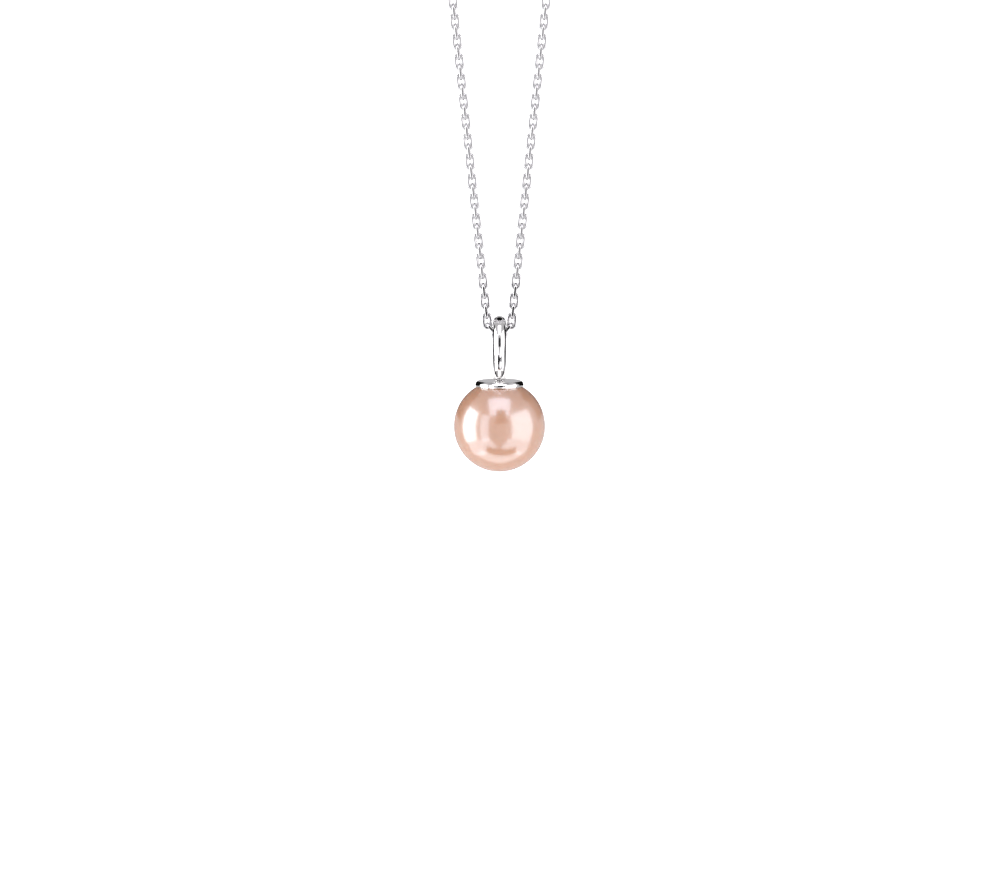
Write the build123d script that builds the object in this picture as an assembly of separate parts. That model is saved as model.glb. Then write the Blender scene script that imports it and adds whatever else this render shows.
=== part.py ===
from build123d import *
import math
import os

# A single-pearl drop necklace: a fine anchor chain closed by a spring ring, a teardrop bail
# that rides on the chain's lowest link, and a capped pearl that hangs from the bail.
#
# Millimetres, +Z up, +X to the right, -Y towards the viewer. The origin is the centre of the
# round stretch at the top of the loop, where a peg or the back of a neck carries the chain.

# ---------------------------------------------------------------------------------------------
# Driving dimensions
# ---------------------------------------------------------------------------------------------

PLAY = 0.02  # free space between two rings that hang in each other

# The chain is made of closed oval links, every second one turned a quarter about its length.
PITCH = 0.99  # one link's centre to the next one's
WIRE_RADIUS = 0.165
LINK_END_RADIUS = 0.355  # centre line of a link's round end
FLAT_HALF_THICKNESS = 0.157  # flats cut on the two faces of a link
FLAT_HALF_WIDTH = 0.49  # flats cut on its two long sides
BOTTOM_LINK_TILT = math.radians(50)  # rise of the two links that leave the lowest one

# Link 0 is the first one above the tilted link, and odd links are the turned ones.
STRAND_LINKS = 190  # from link 0 up to the link where a strand meets the round stretch
ARC_LINKS = 31  # from there up to the last link beside the clasp
GROUP_LINKS = 12  # links in each group that swings as one
GROUPS = 16

# The bail is one drop-shaped loop of round section, thick at the top and thin at the bottom.
BAIL_TOP_RADIUS = 1.80  # centre line of the upper bend
BAIL_FOOT_RADIUS = 0.75  # centre line of the lower bend
BAIL_HEIGHT = 5.205  # centre line, from the lowest point to the highest
BAIL_THICK_RADIUS = 0.65
BAIL_THIN_RADIUS = 0.31
BAIL_TAPER = 0.45  # height in which the section gains two thirds of its growth
BAIL_FOOT_STRETCH = 0.32  # how much taller than wide the section is at the foot, as a share
BAIL_ARC_STEPS = 7
BAIL_LEG_STEPS = 2
BAIL_FOOT_STEPS = 6

# The pearl, its cap and what joins them.
PEARL_RADIUS = 4.50
PEARL_BELOW_FOOT = 5.07  # pearl's centre below the centre of the bail's foot
SEAT_DEPTH = 0.28  # flat ground on the pearl's crown
DRILL_RADIUS = 0.45
DRILL_DEPTH = 3.70
GLUE_FILM = 0.02
CAP_RADIUS = 2.37
CAP_EDGE_RADIUS = 0.38
CAP_TOP_BELOW_FOOT = 0.56
EYE_RADIUS = 0.55  # centre line
EYE_BELOW_FOOT = 0.02
EYE_WIRE_RADIUS = 0.11
PEG_RADIUS = 0.40
PEG_LENGTH = 3.50
PEG_GROOVES = 5
PEG_GROOVE_RADIUS = 0.06

# The spring ring and its two rings. Angles run anticlockwise from +X, seen from above.
CLASP_RADIUS = 2.15  # centre line of the tube
TUBE_RADIUS = 0.60
TUBE_BORE_RADIUS = 0.38
SEAT_FROM, SEAT_TO = -4, 8  # solid stretch beside the eye, which the spring pushes against
GAP_FROM, GAP_TO = 103, 136  # mouth that the bolt closes
BOLT_RADIUS = 0.33
BOLT_FROM, BOLT_TO = 55, 140
BOLT_TRAVEL = 36
KNOB_AT = 88
KNOB_STEM_RADIUS = 0.15
KNOB_STEM_LENGTH = 0.62
KNOB_HEAD_RADIUS = 0.34
SLOT_HALF_WIDTH = 0.18
SLOT_END_ROOM = 5  # degrees past the stem at each end of its travel
SPRING_RADIUS = 0.34
SPRING_WIRE = 0.10
SPRING_TO = 54
CLASP_EYE_RADIUS = 0.725  # centre line
CLASP_EYE_WIRE_RADIUS = 0.225
CLASP_EYE_REACH = 0.80  # its centre, out from the tube
JUMP_RING_RADIUS = 0.95
JUMP_RING_WIRE_RADIUS = 0.225
END_RING_RADIUS = 1.25
END_RING_WIRE_RADIUS = 0.25

# ---------------------------------------------------------------------------------------------
# Lengths that follow from them
# ---------------------------------------------------------------------------------------------

REACH = (PITCH + PLAY) / 2 + WIRE_RADIUS  # a link's centre to its end wire's centre
NEAR = PITCH - REACH  # a link's centre to the end wire of its neighbour
LINK_STRAIGHT = 2 * (REACH - LINK_END_RADIUS)

# Places along the clasp's own line, with 0 at the centre of the spring ring.
END_RING_X = TUBE_RADIUS - CLASP_RADIUS + PLAY + END_RING_WIRE_RADIUS - END_RING_RADIUS
CHAIN_END_LEFT = END_RING_X - END_RING_RADIUS + END_RING_WIRE_RADIUS + PLAY + WIRE_RADIUS
CLASP_EYE_X = CLASP_RADIUS + TUBE_RADIUS + CLASP_EYE_REACH
CLASP_EYE_HOLE = CLASP_EYE_RADIUS - CLASP_EYE_WIRE_RADIUS
JUMP_RING_X = CLASP_EYE_X + CLASP_EYE_HOLE - PLAY - JUMP_RING_WIRE_RADIUS + JUMP_RING_RADIUS
CHAIN_END_RIGHT = JUMP_RING_X + JUMP_RING_RADIUS - JUMP_RING_WIRE_RADIUS - PLAY - WIRE_RADIUS
HALF_GAP = (CHAIN_END_RIGHT - CHAIN_END_LEFT) / 2  # half the chain's opening at the top
CLASP_X = -(CHAIN_END_RIGHT + CHAIN_END_LEFT) / 2


def first_link_x(lean):
    """Link 0's distance from the middle, for strands that lean by this angle."""
    return NEAR + 2 * REACH * math.cos(BOTTOM_LINK_TILT) + NEAR * math.sin(lean)


def top_radius(lean):
    """Radius of the round stretch that both strands run into without a corner."""
    return (first_link_x(lean) + STRAND_LINKS * PITCH * math.sin(lean)) / math.cos(lean)


def angle_step(radius):
    """Turn from one link to the next on the round stretch."""
    return 2 * math.asin(PITCH / 2 / radius)


def last_link_angle(radius):
    """Angle from straight up to the link beside the clasp."""
    return math.asin(HALF_GAP / math.hypot(radius, REACH)) + math.atan(REACH / radius)


def left_over(lean):
    """Angle of the round stretch that its whole links don't fill: zero when the loop closes."""
    radius = top_radius(lean)
    return math.pi / 2 + lean - last_link_angle(radius) - ARC_LINKS * angle_step(radius)


def closing_lean():
    """The strands' lean at which a whole number of links closes the loop."""
    low, high = math.radians(3), math.radians(9)
    for _ in range(60):
        middle = (low + high) / 2
        if left_over(middle) < 0:
            low = middle
        else:
            high = middle
    return (low + high) / 2


LEAN = closing_lean()
TOP_RADIUS = top_radius(LEAN)
CLASP_Z = math.sqrt(TOP_RADIUS**2 + REACH**2 - HALF_GAP**2)
LINK_0_Z = -TOP_RADIUS * math.sin(LEAN) - STRAND_LINKS * PITCH * math.cos(LEAN)
BOTTOM_Z = LINK_0_Z - NEAR * math.cos(LEAN) - 2 * REACH * math.sin(BOTTOM_LINK_TILT)
BAIL_PIVOT_Z = BOTTOM_Z + LINK_END_RADIUS
BAIL_CROWN_Z = BAIL_PIVOT_Z + WIRE_RADIUS + PLAY + BAIL_THICK_RADIUS  # centre line
FOOT_Z = BAIL_CROWN_Z - BAIL_HEIGHT  # centre of the bail's lowest wire
CAP_TOP_Z = FOOT_Z - CAP_TOP_BELOW_FOOT
EYE_Z = FOOT_Z - EYE_BELOW_FOOT
PEARL_Z = FOOT_Z - PEARL_BELOW_FOOT
SEAT_Z = PEARL_Z + PEARL_RADIUS - SEAT_DEPTH


# ---------------------------------------------------------------------------------------------
# Chain
# ---------------------------------------------------------------------------------------------


def oval_link():
    """One link, standing along Z with its face towards Y and flats cut on faces and sides."""
    bend = Torus(LINK_END_RADIUS, WIRE_RADIUS, major_angle=180, align=None)
    bend = Pos(0, 0, LINK_STRAIGHT / 2) * Rot(90, 0, 0) * bend
    side = Pos(LINK_END_RADIUS, 0, 0) * Cylinder(WIRE_RADIUS, LINK_STRAIGHT)
    half = bend + side
    round_link = half + Rot(0, 180, 0) * half
    flats = Box(2 * FLAT_HALF_WIDTH, 2 * FLAT_HALF_THICKNESS, 4 * REACH)
    return (round_link & flats).solid()


def strand_place(index):
    """A right-hand link's centre and long direction, in X and Z. Index -1 is the tilted link."""
    if index < 0:
        x = NEAR + REACH * math.cos(BOTTOM_LINK_TILT)
        z = BOTTOM_Z + REACH * math.sin(BOTTOM_LINK_TILT)
        return x, z, BOTTOM_LINK_TILT
    if index <= STRAND_LINKS:
        run = index * PITCH
        x = first_link_x(LEAN) + run * math.sin(LEAN)
        z = LINK_0_Z + run * math.cos(LEAN)
        return x, z, math.pi / 2 - LEAN
    turn = -LEAN + (index - STRAND_LINKS) * angle_step(TOP_RADIUS)
    x = TOP_RADIUS * math.cos(turn)
    z = TOP_RADIUS * math.sin(turn)
    return x, z, turn + math.pi / 2


def placed_link(link, index, side):
    """The link of this index on the right (side 1) or the left (side -1)."""
    x, z, direction = strand_place(index)
    along = (side * math.cos(direction), 0, math.sin(direction))
    across = (0, 1, 0) if index % 2 else (math.sin(direction), 0, -side * math.cos(direction))
    return Plane(origin=(side * x, 0, z), x_dir=across, z_dir=along).location * link


def bottom_link(link):
    """The lowest link, lying level with its face towards Y. The bail rides on it."""
    return Pos(0, 0, BOTTOM_Z) * Rot(0, 90, 0) * link


def group_indices(group):
    """Links of one swinging group, counted down from the round stretch, group 1 first."""
    top = STRAND_LINKS - 1 - (group - 1) * GROUP_LINKS
    bottom = -1 if group == GROUPS else top - GROUP_LINKS + 1
    return range(bottom, top + 1)


def group_pivot_z(group):
    """Height of the wire that a swinging group turns about: the foot of the link above it."""
    above = group_indices(group)[-1] + 1
    return strand_place(above)[1] - REACH * math.cos(LEAN)


def chain_nodes(link):
    """Every chain node: two round stretches, the swinging groups and the lowest link."""
    nodes = {}
    for side, word in ((1, "right"), (-1, "left")):
        top = range(STRAND_LINKS, STRAND_LINKS + ARC_LINKS + 1)
        nodes[f"chain_top_{word}"] = [placed_link(link, i, side) for i in top]
        for group in range(1, GROUPS + 1):
            links = [placed_link(link, i, side) for i in group_indices(group)]
            nodes[f"chain_{word}_{group:02d}"] = links
    nodes["chain_bottom_link"] = [bottom_link(link)]
    return nodes


# ---------------------------------------------------------------------------------------------
# Bail
# ---------------------------------------------------------------------------------------------


def bail_section(height):
    """Section where the centre line is this high above the foot: narrow and tall at the foot."""
    fading = math.exp(-height / BAIL_TAPER)
    half_width = BAIL_THICK_RADIUS + (BAIL_THIN_RADIUS - BAIL_THICK_RADIUS) * fading
    return Ellipse(half_width, half_width * (1 + BAIL_FOOT_STRETCH * fading))


def bail_stations():
    """Centre line of the back half, top to bottom: (y, z, direction angle in the YZ plane)."""
    top_z = BAIL_CROWN_Z - BAIL_TOP_RADIUS
    foot_z = FOOT_Z + BAIL_FOOT_RADIUS
    tangent = math.asin((BAIL_FOOT_RADIUS - BAIL_TOP_RADIUS) / (top_z - foot_z))
    stations = []
    for step in range(BAIL_ARC_STEPS + 1):
        angle = math.pi / 2 + (tangent - math.pi / 2) * step / BAIL_ARC_STEPS
        y = BAIL_TOP_RADIUS * math.cos(angle)
        z = top_z + BAIL_TOP_RADIUS * math.sin(angle)
        stations.append((y, z, angle - math.pi / 2))
    leg_y, leg_z, leg_way = stations[-1]
    leg_length = math.sqrt((top_z - foot_z) ** 2 - (BAIL_TOP_RADIUS - BAIL_FOOT_RADIUS) ** 2)
    for step in range(1, BAIL_LEG_STEPS + 1):
        run = leg_length * step / (BAIL_LEG_STEPS + 1)
        y = leg_y + run * math.cos(leg_way)
        z = leg_z + run * math.sin(leg_way)
        stations.append((y, z, leg_way))
    for step in range(BAIL_FOOT_STEPS + 1):
        angle = tangent + (-math.pi / 2 - tangent) * step / BAIL_FOOT_STEPS
        y = BAIL_FOOT_RADIUS * math.cos(angle)
        z = foot_z + BAIL_FOOT_RADIUS * math.sin(angle)
        stations.append((y, z, angle - math.pi / 2))
    return stations


def bail():
    """The loop, lofted down its back half and mirrored to the front."""
    sections = []
    for y, z, way in bail_stations():
        along = (0, math.cos(way), math.sin(way))
        plane = Plane(origin=(0, y, z), x_dir=(1, 0, 0), z_dir=along)
        sections.append(plane * bail_section(z - FOOT_Z))
    back = loft(sections)
    return back + mirror(back, about=Plane.XZ)


# ---------------------------------------------------------------------------------------------
# Pearl drop
# ---------------------------------------------------------------------------------------------


def pearl():
    """The pearl, ground flat at its crown and half-drilled from there."""
    ball = Pos(0, 0, PEARL_Z) * Sphere(PEARL_RADIUS)
    ground_off = Pos(0, 0, SEAT_Z + PEARL_RADIUS) * Box(*(3 * [2 * PEARL_RADIUS]))
    hole = Pos(0, 0, SEAT_Z - DRILL_DEPTH / 2) * Cylinder(DRILL_RADIUS, DRILL_DEPTH)
    return ball - ground_off - hole


def pearl_cap():
    """A disc with a full round edge, hollowed below to sit on the pearl over a film of glue."""
    flat_radius = CAP_RADIUS - CAP_EDGE_RADIUS
    disc = Pos(0, 0, CAP_TOP_Z - CAP_EDGE_RADIUS) * Cylinder(flat_radius, 2 * CAP_EDGE_RADIUS)
    edge = Pos(0, 0, CAP_TOP_Z - CAP_EDGE_RADIUS) * Torus(flat_radius, CAP_EDGE_RADIUS)
    reach = PEARL_RADIUS + GLUE_FILM
    below = Pos(0, 0, PEARL_Z) * Sphere(reach)
    under_seat = Pos(0, 0, SEAT_Z + GLUE_FILM - reach) * Box(*(3 * [2 * reach]))
    return (disc + edge) - (below & under_seat)


def cap_eye():
    """The small ring on the cap, filed flat where it is soldered down."""
    ring = Pos(0, 0, EYE_Z) * Rot(90, 0, 0) * Torus(EYE_RADIUS, EYE_WIRE_RADIUS)
    above_cap = Pos(0, 0, CAP_TOP_Z + EYE_RADIUS * 2) * Box(*(3 * [EYE_RADIUS * 4]))
    return ring & above_cap


def peg():
    """The grooved pin under the cap, glued into the pearl's hole."""
    top = SEAT_Z + GLUE_FILM
    pin = Pos(0, 0, top - PEG_LENGTH / 2) * Cylinder(PEG_RADIUS, PEG_LENGTH)
    spacing = PEG_LENGTH / (PEG_GROOVES + 1)
    for groove in range(1, PEG_GROOVES + 1):
        pin -= Pos(0, 0, top - groove * spacing) * Torus(PEG_RADIUS, PEG_GROOVE_RADIUS)
    return pin


# ---------------------------------------------------------------------------------------------
# Clasp
# ---------------------------------------------------------------------------------------------


def clasp_frame():
    """The spring ring's own place: it lies level, with its centre here."""
    return Pos(CLASP_X, 0, CLASP_Z)


def ring_stretch(wire_radius, start, end):
    """A round bar bent along the spring ring's centre line between two angles."""
    bar = Torus(CLASP_RADIUS, wire_radius, major_angle=end - start, align=None)
    return Rot(0, 0, start) * bar


def knob_slot():
    """The slit in the tube's outer wall that the knob's stem runs in."""
    start = KNOB_AT - BOLT_TRAVEL - SLOT_END_ROOM
    end = KNOB_AT + SLOT_END_ROOM
    wall = Pos(CLASP_RADIUS + TUBE_RADIUS, 0, 0) * Rot(90, 0, 0) * Rectangle(
        2 * TUBE_RADIUS, 2 * SLOT_HALF_WIDTH
    )
    return Rot(0, 0, start) * revolve(wall, axis=Axis.Z, revolution_arc=end - start)


def clasp_tube():
    """The bent tube: open at the mouth, solid at the spring's seat, slit for the knob."""
    tube = ring_stretch(TUBE_RADIUS, GAP_TO, 360 + GAP_FROM)
    tube -= ring_stretch(TUBE_BORE_RADIUS, GAP_TO, 360 + SEAT_FROM)
    tube -= ring_stretch(TUBE_BORE_RADIUS, SEAT_TO, GAP_FROM)
    return clasp_frame() * (tube - knob_slot())


def clasp_bolt():
    """The curved bolt that closes the mouth, with its tip in the tube's far end."""
    return clasp_frame() * ring_stretch(BOLT_RADIUS, BOLT_FROM, BOLT_TO)


def clasp_knob():
    """The stem and head that a fingernail pulls to draw the bolt back."""
    foot = CLASP_RADIUS + BOLT_RADIUS
    stem = Pos(foot + KNOB_STEM_LENGTH / 2, 0, 0) * Rot(0, 90, 0) * Cylinder(
        KNOB_STEM_RADIUS, KNOB_STEM_LENGTH
    )
    head = Pos(foot + KNOB_STEM_LENGTH, 0, 0) * Sphere(KNOB_HEAD_RADIUS)
    turned = Rot(0, 0, KNOB_AT) * (stem + head)
    bolt = ring_stretch(BOLT_RADIUS, BOLT_FROM, BOLT_TO)
    return clasp_frame() * (turned - bolt)


def clasp_spring():
    """The outline of the coil spring between its seat and the bolt."""
    outside = ring_stretch(SPRING_RADIUS, SEAT_TO, SPRING_TO)
    inside = ring_stretch(SPRING_RADIUS - SPRING_WIRE, SEAT_TO, SPRING_TO)
    return clasp_frame() * (outside - inside)


def clasp_eye():
    """The flat ring soldered to the tube."""
    ring = Pos(CLASP_EYE_X, 0, 0) * Torus(CLASP_EYE_RADIUS, CLASP_EYE_WIRE_RADIUS)
    return clasp_frame() * (ring - ring_stretch(TUBE_RADIUS, -60, 60))


def standing_ring(radius, wire_radius, x):
    """A ring with its face towards Y, at this place along the clasp's line."""
    return clasp_frame() * (Pos(x, 0, 0) * Rot(90, 0, 0) * Torus(radius, wire_radius))


# ---------------------------------------------------------------------------------------------
# Nodes
# ---------------------------------------------------------------------------------------------


def nodes():
    """Every node's name and the solids in it."""
    parts = chain_nodes(oval_link())
    parts["bail"] = [bail()]
    parts["cap_eye"] = [cap_eye()]
    parts["pearl_cap"] = [pearl_cap()]
    parts["peg"] = [peg()]
    parts["pearl"] = [pearl()]
    parts["clasp_tube"] = [clasp_tube()]
    parts["clasp_eye"] = [clasp_eye()]
    parts["clasp_bolt"] = [clasp_bolt()]
    parts["clasp_knob"] = [clasp_knob()]
    parts["clasp_spring"] = [clasp_spring()]
    parts["jump_ring"] = [standing_ring(JUMP_RING_RADIUS, JUMP_RING_WIRE_RADIUS, JUMP_RING_X)]
    parts["end_ring"] = [standing_ring(END_RING_RADIUS, END_RING_WIRE_RADIUS, END_RING_X)]
    return parts


def main():
    os.makedirs("parts", exist_ok=True)
    for name, shapes in nodes().items():
        solids = [solid for shape in shapes for solid in shape.solids()]
        export_step(Compound(children=solids), f"parts/{name}.step")
    links = 2 * (STRAND_LINKS + ARC_LINKS + 2) + 1
    length = links * PITCH + CHAIN_END_RIGHT - CHAIN_END_LEFT
    print(f"{links} links, {length:.1f} mm round, strands lean {math.degrees(LEAN):.3f} degrees")
    print(f"round stretch radius {TOP_RADIUS:.3f}, lowest link at {BOTTOM_Z:.3f}")


if __name__ == "__main__":
    main()
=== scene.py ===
# %% [markdown]
# # A pearl drop on a fine silver chain
# This file dresses a finished mechanical model of a necklace: 447 chain links, a clasp, a bail
# and a capped pearl. The mechanical model fixes every size and every moving body. Here we add
# what the eye wants: a smooth round pearl with depth, silver that shows its cuts and scratches,
# and a studio for the silver to mirror. We work in metres, in the model's own frame.

# %% Load the mechanical model
import math

import bmesh
import bpy
from mathutils import Matrix, Vector


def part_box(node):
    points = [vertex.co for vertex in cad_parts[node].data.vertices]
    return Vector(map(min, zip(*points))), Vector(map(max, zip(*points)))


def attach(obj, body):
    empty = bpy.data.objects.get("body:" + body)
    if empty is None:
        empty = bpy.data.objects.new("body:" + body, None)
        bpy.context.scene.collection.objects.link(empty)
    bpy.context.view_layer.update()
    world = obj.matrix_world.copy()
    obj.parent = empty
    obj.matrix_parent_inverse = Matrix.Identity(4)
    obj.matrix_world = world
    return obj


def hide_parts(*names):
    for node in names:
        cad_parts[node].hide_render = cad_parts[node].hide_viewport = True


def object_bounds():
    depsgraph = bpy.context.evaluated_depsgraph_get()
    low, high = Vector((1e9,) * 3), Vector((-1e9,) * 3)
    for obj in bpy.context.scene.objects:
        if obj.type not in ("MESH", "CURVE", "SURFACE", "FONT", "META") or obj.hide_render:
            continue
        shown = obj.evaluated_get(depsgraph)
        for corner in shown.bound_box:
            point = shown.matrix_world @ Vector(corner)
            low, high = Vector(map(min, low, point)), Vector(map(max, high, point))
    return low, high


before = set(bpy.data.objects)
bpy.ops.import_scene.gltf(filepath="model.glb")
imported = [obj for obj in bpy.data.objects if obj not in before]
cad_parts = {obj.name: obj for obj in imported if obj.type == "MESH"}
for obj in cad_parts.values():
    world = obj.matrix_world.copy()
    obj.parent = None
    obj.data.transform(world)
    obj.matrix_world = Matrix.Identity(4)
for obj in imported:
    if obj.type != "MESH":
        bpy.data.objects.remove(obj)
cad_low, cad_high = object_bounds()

MM = 0.001
print("box:", [round(v / MM, 1) for v in cad_high - cad_low], "mm")

# %% [markdown]
# ## Places to work from
# The new pearl sits exactly where its mechanical twin sits, and the studio is aimed at the pearl
# and the bail, so their places come from the boxes of those nodes: lowest corner, highest corner,
# and the middle between them. The pearl is cut flat at its crown, so its middle is measured up
# from its lowest point.


# %% A node's box as centre and size
def place_of(node):
    """Centre and size of a node's box."""
    low, high = (Vector(corner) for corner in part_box(node))
    return (low + high) / 2, high - low


pearl_centre, pearl_size = place_of("pearl")
PEARL_RADIUS = pearl_size.x / 2
pearl_centre.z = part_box("pearl")[0][2] + PEARL_RADIUS
bail_centre, bail_size = place_of("bail")
print("pearl across:", round(2 * PEARL_RADIUS / MM, 2), "mm at height", round(pearl_centre.z / MM, 1))

# %% [markdown]
# ## Shader maths as plain expressions
# A node tree is easier to read as sums. This small class wraps a socket, and each operator adds
# the Math node that does it, so `clouds * 0.6 + hairlines * 0.4` builds three nodes without
# naming any.


# %% The socket wrapper
class Wire:
    """A socket that can be added to, multiplied and so on, inside one material's node tree."""

    def __init__(self, tree, socket):
        self.tree = tree
        self.socket = socket

    def node(self, kind, settings=None, **inputs):
        """Adds a node of any kind: settings first, then values or links for its sockets.

        A socket is given by its name, with _ for a space, or by its number, as n0 or n1.
        """
        made = self.tree.nodes.new(kind)
        for name, value in (settings or {}).items():
            if name == "stops":
                ramp = made.color_ramp
                while len(ramp.elements) < len(value):
                    ramp.elements.new(0.5)
                for stop, (position, colour) in zip(ramp.elements, value):
                    stop.position = position
                    stop.color = (*colour, 1.0)
            else:
                setattr(made, name, value)
        for name, value in inputs.items():
            is_number = name.startswith("n") and name[1:].isdigit()
            key = int(name[1:]) if is_number else name.replace("_", " ")
            if isinstance(value, Wire):
                self.tree.links.new(value.socket, made.inputs[key])
            else:
                made.inputs[key].default_value = value
        return made

    def maths(self, operation, first, second):
        made = self.node("ShaderNodeMath", {"operation": operation}, n0=first, n1=second)
        return Wire(self.tree, made.outputs[0])

    def __add__(self, other):
        return self.maths("ADD", self, other)

    __radd__ = __add__

    def __mul__(self, other):
        return self.maths("MULTIPLY", self, other)

    __rmul__ = __mul__

    def ramp(self, stops):
        """Turns a value into a colour by stops of (position, colour)."""
        made = self.node("ShaderNodeValToRGB", {"stops": stops}, Fac=self)
        return Wire(self.tree, made.outputs["Color"])

    def spread(self, low, high):
        """Stretches 0..1 to another span."""
        return self * (high - low) + low


print("shader maths ready")

# %% [markdown]
# ## Starting a finish
# Every finish here starts the same way: a Principled shader, and the position on the piece to
# build patterns from. Object coordinates are used, because a pattern on them keeps its real
# size on every piece and needs no unwrapping. Cloudy noise feeds the colour and the roughness,
# and a bump turns a pattern into small hills.


# %% A new material and its starting sockets
def new_finish(name):
    """A material with a Principled shader; returns it, the shader, and its surface position."""
    made = bpy.data.materials.new(name)
    made.use_nodes = True
    shader = made.node_tree.nodes["Principled BSDF"]
    coordinates = made.node_tree.nodes.new("ShaderNodeTexCoord")
    return made, shader, Wire(made.node_tree, coordinates.outputs["Object"])


def noise(position, scale, detail=2.0, roughness=0.5):
    """Cloudy noise; scale is in features per metre."""
    made = position.node(
        "ShaderNodeTexNoise", None, Vector=position, Scale=scale, Detail=detail, Roughness=roughness
    )
    return Wire(position.tree, made.outputs["Fac"])


def feed(wire, shader, socket):
    """Links a wire into one of the shader's sockets."""
    wire.tree.links.new(wire.socket, shader.inputs[socket])


def emboss(height, shader, distance):
    """Bumps the surface by a height between 0 and 1, worth this distance in metres."""
    made = height.node("ShaderNodeBump", None, Height=height, Distance=distance, Strength=1.0)
    height.tree.links.new(made.outputs["Normal"], shader.inputs["Normal"])


print("finish helpers ready")


# %% [markdown]
# ## Silver
# Polished silver is nearly a mirror, so most of its look is the room around it. What makes it
# read as metal and not as chrome paint is small: a slightly warm tone, hairline scratches from
# wear that blur the mirror here and there, and a surface that is never perfectly even. The
# chain is greyer and rougher than the bail, because its links were tumbled before their flats
# were cut, and polish never reaches between them.


# %% Polished silver and chain silver
CLOUDS_PER_METRE = 900.0
WAVES_PER_METRE = 1400.0
HAIRLINES_PER_METRE = 14000.0
HAIRLINE_STRETCH = 0.08
TARNISH = 0.93


def silver(name, tone, smooth, worn, wave):
    """Silver whose roughness wanders between smooth and worn, with faint waves and scratches."""
    made, shader, position = new_finish(name)
    shader.inputs["Metallic"].default_value = 1.0
    clouds = noise(position, CLOUDS_PER_METRE, 3.0)
    dull = tuple(channel * TARNISH for channel in tone)
    feed(clouds.ramp([(0.30, dull), (0.62, tone)]), shader, "Base Color")
    stretch = position.node(
        "ShaderNodeMapping", None, Vector=position, Scale=(1.0, 1.0, HAIRLINE_STRETCH)
    )
    hairlines = noise(Wire(position.tree, stretch.outputs["Vector"]), HAIRLINES_PER_METRE, 2.0, 0.6)
    feed((clouds * 0.6 + hairlines * 0.4).spread(smooth, worn), shader, "Roughness")
    emboss(noise(position, WAVES_PER_METRE, 1.0) + hairlines * 0.05, shader, wave)
    return made


POLISHED_SILVER = silver("polished_silver", (0.93, 0.925, 0.915), 0.02, 0.10, 0.004 * MM)
CHAIN_SILVER = silver("chain_silver", (0.66, 0.66, 0.665), 0.07, 0.20, 0.010 * MM)
print("silver finishes:", POLISHED_SILVER.name, CHAIN_SILVER.name)

# %% [markdown]
# ## Spring steel
# The clasp's spring shows only through the slit that the knob runs in, so a plain satin wire
# with fine drawing marks is enough.


# %% Spring steel
MARKS_PER_METRE = 9000.0


def spring_steel():
    """Satin steel wire with faint marks from drawing."""
    made, shader, position = new_finish("spring_steel")
    shader.inputs["Metallic"].default_value = 1.0
    marks = noise(position, MARKS_PER_METRE, 3.0)
    feed(marks.ramp([(0.3, (0.42, 0.42, 0.43)), (0.7, (0.60, 0.60, 0.61))]), shader, "Base Color")
    feed(marks.spread(0.25, 0.40), shader, "Roughness")
    emboss(marks, shader, 0.004 * MM)
    return made


SPRING_STEEL = spring_steel()
print("spring finish:", SPRING_STEEL.name)

# %% [markdown]
# ## Nacre
# A pearl is thousands of clear plates over a coloured body. Light that enters comes back warm
# and peach; light that the plates mirror comes back cool, so the two add up to a rosy white. We
# build it as a warm body with some scattering below the surface, a satin reflection with a cool
# tint for the plates, and a clear coat for the sharp gloss on top. Faint clouds and dimples in
# colour and height keep it from looking like plastic.


# %% Pearl finish
NACRE_CLOUDS_PER_METRE = 260.0
DIMPLES_PER_METRE = 420.0
PLATES_PER_METRE = 5200.0
NACRE_PEACH = [(0.34, (0.47, 0.245, 0.14)), (0.50, (0.49, 0.27, 0.165)), (0.68, (0.51, 0.30, 0.20))]


def nacre():
    """Peach body, scattering below the surface, a cool satin reflection and a sharp coat."""
    made, shader, position = new_finish("nacre")
    centred = position.node(
        "ShaderNodeMapping", None, Vector=position, Location=tuple(-v for v in pearl_centre)
    )
    local = Wire(position.tree, centred.outputs["Vector"])
    clouds = noise(local, NACRE_CLOUDS_PER_METRE, 3.0, 0.45)
    feed(clouds.ramp(NACRE_PEACH), shader, "Base Color")
    shader.inputs["IOR"].default_value = 2.8
    shader.inputs["Specular Tint"].default_value = (0.70, 0.90, 1.0, 1.0)
    plates = noise(local, PLATES_PER_METRE, 2.0)
    feed((clouds * 0.5 + plates * 0.5).spread(0.16, 0.30), shader, "Roughness")
    shader.inputs["Subsurface Weight"].default_value = 0.35
    shader.inputs["Subsurface Radius"].default_value = (1.0, 0.55, 0.35)
    shader.inputs["Subsurface Scale"].default_value = 0.8 * MM
    shader.inputs["Coat Weight"].default_value = 0.7
    shader.inputs["Coat Roughness"].default_value = 0.06
    shader.inputs["Coat IOR"].default_value = 1.5
    shader.inputs["Sheen Weight"].default_value = 0.12
    shader.inputs["Sheen Tint"].default_value = (1.0, 0.86, 0.88, 1.0)
    dimples = noise(local, DIMPLES_PER_METRE, 2.0)
    emboss(dimples * 0.9 + plates * 0.1, shader, 0.012 * MM)
    return made


NACRE = nacre()
print("pearl finish:", NACRE.name)

# %% [markdown]
# ## A helper for a new piece
# A new piece is modelled with bmesh operators in its final place. Its doubles are merged and
# its faces turned outward, then it rides on the body of the node that it replaces.


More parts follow.
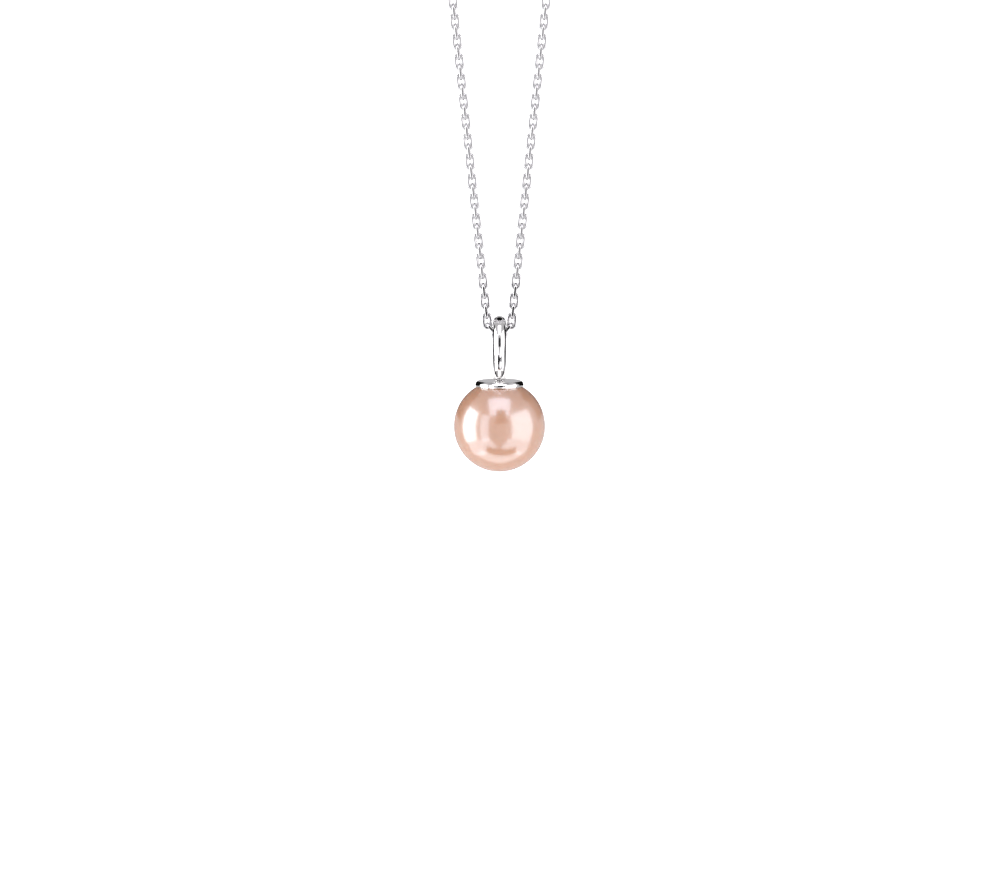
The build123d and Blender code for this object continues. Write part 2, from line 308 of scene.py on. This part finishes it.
# %% From bmesh to a riding piece
def finish_piece(mesh, name, finish, slot, body, *replaced):
    """Closes the bmesh into an object with its finish, and lets it ride on a body."""
    bmesh.ops.remove_doubles(mesh, verts=mesh.verts, dist=0.0002 * MM)
    bmesh.ops.recalc_face_normals(mesh, faces=mesh.faces)
    data = bpy.data.meshes.new(name)
    mesh.to_mesh(data)
    mesh.free()
    data.polygons.foreach_set("use_smooth", [True] * len(data.polygons))
    piece = bpy.data.objects.new(name, data)
    bpy.context.scene.collection.objects.link(piece)
    data.materials.append(finish)
    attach(piece, body)
    if replaced:
        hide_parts(*replaced)
    print(name, "faces:", len(data.polygons))
    return piece


print("piece helper ready")

# %% [markdown]
# ## The pearl
# A round pearl is a sphere within a few hundredths of a millimetre, ground flat at the crown
# for its cap and drilled from there. An icosphere has no poles, so its gloss has no pinch. We
# slice the crown off, fill the slice, and press the drill hole into it.


# %% Pearl
HOLE_RADIUS = 0.45 * MM
HOLE_DEPTH = 3.7 * MM


def build_pearl():
    """A sphere with a flat seat at its crown and a drill hole in the seat."""
    _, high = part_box("pearl")
    mesh = bmesh.new()
    bmesh.ops.create_icosphere(
        mesh, subdivisions=6, radius=PEARL_RADIUS, matrix=Matrix.Translation(pearl_centre)
    )
    crown = Vector((0, 0, high[2]))
    cut = bmesh.ops.bisect_plane(
        mesh, geom=mesh.verts[:] + mesh.edges[:] + mesh.faces[:], plane_co=crown,
        plane_no=(0, 0, 1), clear_outer=True,
    )
    rim = [e for e in cut["geom_cut"] if isinstance(e, bmesh.types.BMEdge)]
    seat = bmesh.ops.contextual_create(mesh, geom=rim)["faces"]
    seat_radius = max((v.co - crown).length for v in seat[0].verts)
    bmesh.ops.inset_individual(mesh, faces=seat, thickness=seat_radius - HOLE_RADIUS)
    hole = bmesh.ops.extrude_discrete_faces(mesh, faces=seat)["faces"]
    bmesh.ops.translate(mesh, verts=hole[0].verts, vec=(0, 0, -HOLE_DEPTH))
    return finish_piece(mesh, "pearl_ball", NACRE, "pearl", "drop", "pearl")


build_pearl()

# %% [markdown]
# ## Finishes for the mechanical pieces
# The links, the bail, the cap, the rings and the clasp already have their right shapes, so they
# keep their own meshes and only get their finish.


# %% Give every remaining node its finish
def dress(node, finish):
    """Gives a mechanical node's mesh one finish."""
    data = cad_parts[node].data
    data.materials.clear()
    data.materials.append(finish)


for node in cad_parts:
    if node.startswith("chain"):
        dress(node, CHAIN_SILVER)
    elif node == "clasp_spring":
        dress(node, SPRING_STEEL)
    elif node != "pearl":
        dress(node, POLISHED_SILVER)
print("dressed", len(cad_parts), "nodes")

# %% [markdown]
# ## The room
# Jewellery is lit by what it mirrors. The viewer sees a white room, but metal in a white room
# turns white and its outline is lost, so what the metal mirrors is a grey room. The floor is a
# plain pale sheet below the pearl, wide enough that its edge is never seen.


# %% Floor and surroundings
FLOOR_RADIUS = 12.0
FLOOR_GAP = 30 * MM
ROOM_WHITE = (1.0, 1.0, 1.0)
ROOM_GREY = (0.50, 0.49, 0.505)


def pale_floor():
    """A round sheet below the pearl that gives off as much white as the room behind it."""
    mesh = bmesh.new()
    middle = Matrix.Translation((0, 0, cad_low.z - FLOOR_GAP))
    bmesh.ops.create_circle(mesh, cap_ends=True, segments=96, radius=FLOOR_RADIUS, matrix=middle)
    data = bpy.data.meshes.new("floor")
    mesh.to_mesh(data)
    mesh.free()
    floor = bpy.data.objects.new("floor", data)
    bpy.context.scene.collection.objects.link(floor)
    made, shader, _ = new_finish("pale_paper")
    shader.inputs["Base Color"].default_value = (0.9, 0.9, 0.9, 1.0)
    shader.inputs["Roughness"].default_value = 0.9
    shader.inputs["Emission Color"].default_value = (1.0, 1.0, 1.0, 1.0)
    shader.inputs["Emission Strength"].default_value = 1.0
    data.materials.append(made)
    floor.visible_glossy = False
    print("floor:", round((cad_low.z - FLOOR_GAP) / MM, 1), "mm high, radius", FLOOR_RADIUS, "m")


def surroundings(seen, mirrored):
    """A world of one colour to look at, and of another for the metal to mirror."""
    world = bpy.data.worlds.new("studio")
    bpy.context.scene.world = world
    world.use_nodes = True
    tree = world.node_tree
    tree.nodes.clear()
    start = Wire(tree, None)
    path = start.node("ShaderNodeLightPath")
    grey = start.node("ShaderNodeBackground", None, Color=(*mirrored, 1.0), Strength=1.0)
    white = start.node("ShaderNodeBackground", None, Color=(*seen, 1.0), Strength=1.0)
    mix = start.node("ShaderNodeMixShader")
    tree.links.new(path.outputs["Is Camera Ray"], mix.inputs[0])
    tree.links.new(grey.outputs[0], mix.inputs[1])
    tree.links.new(white.outputs[0], mix.inputs[2])
    output = start.node("ShaderNodeOutputWorld")
    tree.links.new(mix.outputs[0], output.inputs[0])


pale_floor()
surroundings(ROOM_WHITE, ROOM_GREY)

# %% [markdown]
# ## Panels and flags
# A panel gives a white reflection, and a flag, a black card, gives a dark one. Both are placed
# by two angles and a distance from a middle, and neither is seen by the camera itself. A card
# stops no light, so it changes only what is mirrored.


# %% Direction, panel and flag
def way_to(turn, rise):
    """A direction; turn is in degrees from the viewer, positive to the right."""
    turn, rise = math.radians(turn), math.radians(rise)
    level = math.cos(rise)
    return Vector((math.sin(turn) * level, -math.cos(turn) * level, math.sin(rise)))


def facing(middle, made, turn, rise, distance):
    """Stands a panel or a card at this direction and distance, turned to the middle."""
    way = way_to(turn, rise)
    made.location = middle + way * distance
    made.rotation_euler = (-way).to_track_quat("-Z", "Y").to_euler()
    made.visible_camera = False
    bpy.context.scene.collection.objects.link(made)


def panel(name, turn, rise, distance, width, height, brightness, tint=(1, 1, 1)):
    """A panel of this brightness and tint, turned to the pearl."""
    light = bpy.data.lights.new(name, "AREA")
    light.shape = "RECTANGLE"
    light.size = width
    light.size_y = height
    light.energy = brightness * width * height * math.pi
    light.color = tint
    facing(pearl_centre, bpy.data.objects.new(name, light), turn, rise, distance)


def flag(name, middle, turn, rise, distance, width, height):
    """A black card, turned to a middle, that only mirrors see."""
    mesh = bmesh.new()
    bmesh.ops.create_grid(mesh, x_segments=1, y_segments=1, size=0.5)
    bmesh.ops.scale(mesh, vec=(width, height, 1), verts=mesh.verts)
    data = bpy.data.meshes.new(name)
    mesh.to_mesh(data)
    mesh.free()
    data.materials.append(BLACK_CARD)
    card = bpy.data.objects.new(name, data)
    facing(middle, card, turn, rise, distance)
    card.visible_diffuse = False
    card.visible_shadow = False


BLACK_CARD, card_shader, _ = new_finish("black_card")
card_shader.inputs["Base Color"].default_value = (0.004, 0.004, 0.004, 1.0)
card_shader.inputs["Roughness"].default_value = 1.0
card_shader.inputs["Specular IOR Level"].default_value = 0.0
print("card finish:", BLACK_CARD.name)

# %% [markdown]
# ## The studio
# Each panel draws one patch on the pearl: a tall hard one on the left, a wide soft one on the
# right, a narrow one just left of the middle, a lilac one near the cap, and three low ones that
# fill the lower half. The one card below leaves a dark crescent near the bottom, where the
# body's own colour shows.

# %% The studio
panel("left_softbox", -84, 3, 0.42, 0.34, 0.50, 3.4)
panel("left_inner", -39, 0, 0.50, 0.20, 0.60, 1.5, (0.94, 0.93, 1.0))
panel("left_low", -62, -45, 0.42, 0.56, 0.26, 1.3, (0.96, 0.95, 1.0))
panel("right_panel", 62, 4, 0.42, 0.50, 0.52, 2.0, (1.0, 0.96, 0.98))
panel("right_low", 58, -45, 0.42, 0.52, 0.26, 1.3, (0.96, 0.95, 1.0))
panel("overhead", 0, 58, 0.45, 0.40, 0.42, 2.0, (0.95, 0.90, 1.0))
panel("floor_glow", 0, -86, 0.32, 0.50, 0.16, 1.1)
flag("under_dark", pearl_centre, 8, -64, 0.28, 0.34, 0.10)

# %% [markdown]
# ## Cards beside the bail
# The bail is a narrow upright bar, and it reads as a mirror only when it has dark edges, a dark
# line down its middle and a dark crown. Large cards far away would darken the pearl too, so
# these are small and stand a few millimetres from the bail.

# %% Bail cards
CARD_DISTANCE = 14 * MM
beside_bail = bail_centre + Vector((0, 0, 2.2 * MM))
bail_crown = bail_centre + Vector((0, 0, bail_size.z / 2))
flag("bail_left_dark", beside_bail, -134, 0, CARD_DISTANCE, 16 * MM, 16.5 * MM)
flag("bail_right_dark", beside_bail, 134, 0, CARD_DISTANCE, 16 * MM, 16.5 * MM)
flag("bail_front_dark", bail_centre, 4, 0, CARD_DISTANCE, 6 * MM, 10.5 * MM)
flag("bail_top_dark", bail_crown, 180, 52, CARD_DISTANCE, 12 * MM, 9 * MM)

# %% [markdown]
# ## The camera
# Small things are best seen from far away through a long lens, so nothing bends. The camera
# looks slightly down, and its middle is a little below the pearl's.

# %% Camera
CAMERA_RISE = math.radians(6.5)
FRAME_WIDTH = 98.6 * MM
CAMERA_DISTANCE = 1.2
SENSOR_WIDTH = 36.0
AIM_OFFSET = Vector((0.05 * MM, 0, -1.83 * MM))
camera_data = bpy.data.cameras.new("camera")
camera_data.sensor_width = SENSOR_WIDTH
camera_data.lens = camera_data.sensor_width * CAMERA_DISTANCE / FRAME_WIDTH
camera = bpy.data.objects.new("camera", camera_data)
bpy.context.scene.collection.objects.link(camera)
toward_camera = Vector((0, -math.cos(CAMERA_RISE), math.sin(CAMERA_RISE)))
target = pearl_centre + AIM_OFFSET
camera.location = target + toward_camera * CAMERA_DISTANCE
camera.rotation_euler = (-toward_camera).to_track_quat("-Z", "Y").to_euler()
bpy.context.scene.camera = camera
bpy.context.scene.view_settings.view_transform = "Standard"
print("lens:", round(camera_data.lens), "mm")
